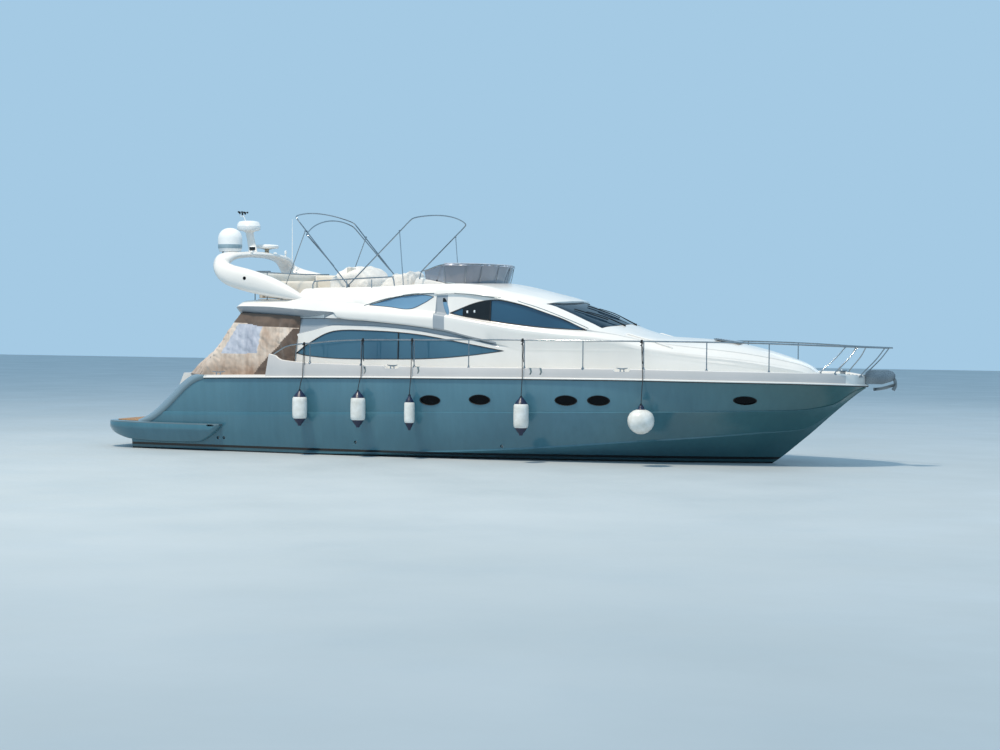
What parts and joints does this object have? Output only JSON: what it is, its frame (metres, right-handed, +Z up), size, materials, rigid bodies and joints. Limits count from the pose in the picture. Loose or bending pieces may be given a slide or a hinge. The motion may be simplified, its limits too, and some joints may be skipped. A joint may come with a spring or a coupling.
{
  "type": "motor yacht",
  "caption": "Flybridge motor yacht with a decked hull, glazed deckhouse, radar arch, canopy hoops, rails, twin propellers and rudders.",
  "frame": {"origin": "on the centreline at the waterline, midway between the two ends of the hull", "axes": "+X to the bow, +Y to port, +Z up"},
  "size_m": [17.61, 5.1125, 6.5738],
  "materials": {
    "hull_gelcoat": "gloss",
    "gelcoat": "gloss",
    "rubber": "matte",
    "teak": "matte",
    "floor_wood": "satin",
    "engine": "satin",
    "cushion": "matte",
    "seat_cover": "matte",
    "canvas": "matte",
    "tinted_glass": "gloss",
    "acrylic": "gloss",
    "dash": "satin",
    "wheel_rubber": "satin",
    "stainless": "polished",
    "dome_plastic": "gloss",
    "bronze": "satin",
    "galvanised": "satin",
    "chromed": "polished",
    "fender_vinyl": "satin"
  },
  "bodies": {
    "yacht": {"hull": "hull_gelcoat", "deck": "gelcoat", "rub_rail": "rubber", "swim_platform": "gelcoat", "platform_teak": "teak", "cockpit_sole": "teak", "saloon_sole": "floor_wood", "engine_starboard": "engine", "engine_port": "engine", "transom_locker": "gelcoat", "cockpit_bench": "cushion", "cockpit_canvas": "canvas", "deckhouse": "gelcoat", "saloon_window_starboard": "tinted_glass", "saloon_window_port": "tinted_glass", "wheelhouse_window_starboard": "tinted_glass", "wheelhouse_window_port": "tinted_glass", "windscreen": "tinted_glass", "saloon_aft_window": "tinted_glass", "saloon_sofa": "cushion", "lower_helm": "dash", "lower_helm_seat": "cushion", "flybridge": "gelcoat", "fly_windshield": "acrylic", "helm_console": "dash", "helm_seat": "seat_cover", "fly_settee": "cushion", "fly_rail": "stainless", "radar_arch": "gelcoat", "satcom_dome": "dome_plastic", "radar_mast": "dome_plastic", "tv_antenna": "dome_plastic", "bimini_aft_hoop": "stainless", "aft_prop_starboard": "stainless", "aft_prop_port": "stainless", "handrail_starboard": "stainless", "handrail_port": "stainless", "shaft_bracket_starboard": "bronze", "shaft_bracket_port": "bronze", "anchor": "galvanised", "windlass": "chromed", "fender_aft": "fender_vinyl", "fender_quarter": "fender_vinyl", "fender_middle": "fender_vinyl", "fender_forward": "fender_vinyl", "fender_ball": "fender_vinyl"},
    "propeller_starboard": {"propeller_starboard": "bronze"},
    "propeller_port": {"propeller_port": "bronze"},
    "rudder_starboard": {"rudder_starboard": "bronze"},
    "rudder_port": {"rudder_port": "bronze"},
    "helm_wheel": {"helm_wheel": "wheel_rubber"},
    "engine_hatch": {"engine_hatch": "teak"},
    "transom_door": {"transom_door": "gelcoat"},
    "saloon_door": {"saloon_door": "tinted_glass"},
    "foredeck_hatch": {"foredeck_hatch": "acrylic"},
    "bimini_middle_hoop": {"bimini_middle_hoop": "stainless"},
    "bimini_forward_hoop": {"bimini_forward_hoop": "stainless"},
    "forward_prop_starboard": {"forward_prop_starboard": "stainless"},
    "forward_prop_port": {"forward_prop_port": "stainless"}
  },
  "joints": [
    {"name": "propeller_starboard_spin", "type": "hinge", "parent": "yacht", "child": "propeller_starboard", "pos_m": [-6.64, -0.76, -0.961], "axis": [0.9806, 0, 0.1961], "continuous": true},
    {"name": "propeller_port_spin", "type": "hinge", "parent": "yacht", "child": "propeller_port", "pos_m": [-6.64, 0.76, -0.961], "axis": [0.9806, 0, 0.1961], "continuous": true},
    {"name": "rudder_starboard_turn", "type": "hinge", "parent": "yacht", "child": "rudder_starboard", "pos_m": [-7.34, -0.76, -0.5], "axis": [0, 0, 1], "range_deg": [-35, 35]},
    {"name": "rudder_port_turn", "type": "hinge", "parent": "yacht", "child": "rudder_port", "pos_m": [-7.34, 0.76, -0.5], "axis": [0, 0, 1], "range_deg": [-35, 35]},
    {"name": "helm_wheel_turn", "type": "hinge", "parent": "yacht", "child": "helm_wheel", "pos_m": [-1.12, -0.8, 3.62], "axis": [-0.9191, 0, 0.3939], "range_deg": [-540, 540]},
    {"name": "engine_hatch_hinge", "type": "hinge", "parent": "yacht", "child": "engine_hatch", "pos_m": [-4.0604, 0, 1.12], "axis": [0, 1, 0], "range_deg": [0, 70]},
    {"name": "transom_door_hinge", "type": "hinge", "parent": "yacht", "child": "transom_door", "pos_m": [-7.0267, 0, 1.5773], "axis": [0, 1, 0], "range_deg": [0, 75]},
    {"name": "saloon_door_slide", "type": "slide", "parent": "yacht", "child": "saloon_door", "axis": [0, 1, 0], "range_m": [0, 0.92]},
    {"name": "foredeck_hatch_hinge", "type": "hinge", "parent": "yacht", "child": "foredeck_hatch", "pos_m": [5.86, 0, 2.495], "axis": [0, 1, 0], "range_deg": [0, 60]},
    {"name": "bimini_middle_hinge", "type": "hinge", "parent": "yacht", "child": "bimini_middle_hoop", "pos_m": [-2.9896, 0, 4.1048], "axis": [0, 1, 0], "range_deg": [0, 30]},
    {"name": "bimini_forward_hinge", "type": "hinge", "parent": "yacht", "child": "bimini_forward_hoop", "pos_m": [-2.62, 0, 3.675], "axis": [0, -1, 0], "range_deg": [0, 75]},
    {"name": "forward_prop_starboard_hinge", "type": "hinge", "parent": "bimini_forward_hoop", "child": "forward_prop_starboard", "pos_m": [-1.3726, 0, 4.86165], "axis": [0, -1, 0], "range_deg": [-52, 0]},
    {"name": "forward_prop_port_hinge", "type": "hinge", "parent": "bimini_forward_hoop", "child": "forward_prop_port", "pos_m": [-1.3726, 0, 4.86165], "axis": [0, -1, 0], "range_deg": [-52, 0]}
  ],
  "couplings": [
    {"joint": "rudder_port_turn", "follows": "rudder_starboard_turn", "ratio": 1},
    {"joint": "helm_wheel_turn", "follows": "rudder_starboard_turn", "ratio": 15.4},
    {"joint": "forward_prop_starboard_hinge", "follows": "bimini_forward_hinge", "ratio": -0.688},
    {"joint": "forward_prop_port_hinge", "follows": "bimini_forward_hinge", "ratio": -0.688}
  ]
}
